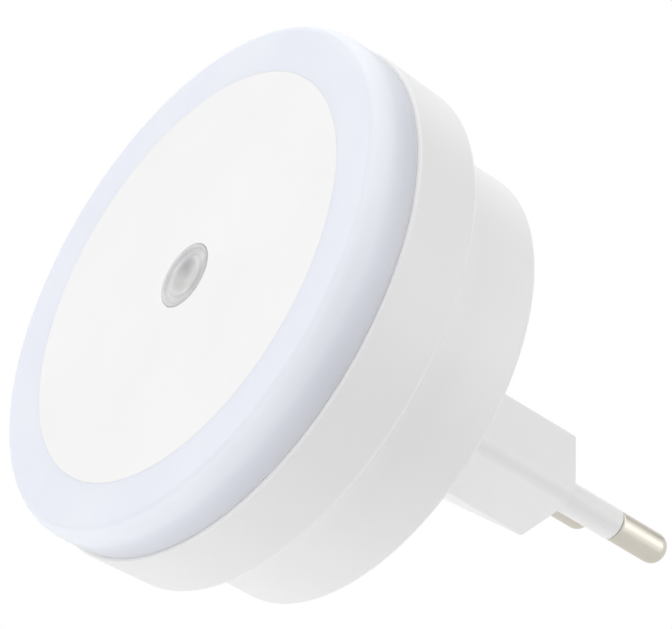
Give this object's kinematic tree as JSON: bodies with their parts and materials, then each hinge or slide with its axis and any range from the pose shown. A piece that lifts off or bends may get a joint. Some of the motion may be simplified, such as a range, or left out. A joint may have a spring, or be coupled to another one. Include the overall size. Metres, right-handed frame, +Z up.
{
  "type": "plug-in night light",
  "caption": "Round plug-in night light: flat white disc with a dusk sensor inside a translucent diffuser ring, stepped round housing, slim wall plug with sleeved pins.",
  "frame": {"origin": "middle of the plug's face, half way between the two pins", "axes": "+Y along the pins into the wall, -Y towards the room, +Z up, X across the pins"},
  "size_m": [0.0696, 0.0722, 0.0696],
  "materials": {
    "disc_white": "fine satin, opaque white",
    "ring_translucent": "frosted translucent, cool white",
    "clear_window": "clear polycarbonate",
    "housing_white": "smooth satin white",
    "plug_white": "smooth satin white",
    "sleeve_white": "smooth moulded insulation",
    "pin_nickel": "nickel plated, finely polished",
    "tray_white": "bright white reflector",
    "shroud_grey": "grey light-tight tube",
    "sensor_clear": "water-clear epoxy",
    "board_green": "solder mask over glass-fibre board",
    "led_yellow": "phosphor under clear gel",
    "film_yellow": "dipped epoxy",
    "can_dark": "sleeved can",
    "package_black": "moulded epoxy package",
    "resistor_tan": "lacquered",
    "resistor_green": "lacquered",
    "resistor_blue": "lacquered",
    "diode_orange": "glass bead",
    "wire_brown": "flexible insulation",
    "wire_blue": "flexible insulation",
    "screw_steel": "zinc plated"
  },
  "bodies": {
    "root": {"front_disc": "disc_white", "sensor_window": "clear_window", "sensor_shroud": "shroud_grey", "photo_sensor": "sensor_clear", "diffuser_ring": "ring_translucent", "reflector_tray": "tray_white", "rear_housing": "housing_white", "plug_body": "plug_white", "live_pin": "pin_nickel", "neutral_pin": "pin_nickel", "live_sleeve": "sleeve_white", "neutral_sleeve": "sleeve_white", "live_wire": "wire_brown", "neutral_wire": "wire_blue", "circuit_board": "board_green", "led_1": "led_yellow", "led_2": "led_yellow", "led_3": "led_yellow", "led_4": "led_yellow", "led_5": "led_yellow", "led_6": "led_yellow", "film_capacitor": "film_yellow", "electrolytic_capacitor": "can_dark", "bridge_rectifier": "package_black", "bleeder_resistor": "resistor_tan", "fusible_resistor": "resistor_green", "led_resistor": "resistor_blue", "switching_transistor": "package_black", "zener_diode": "diode_orange", "board_screws": "screw_steel", "plug_screws": "screw_steel"}
  },
  "joints": []
}
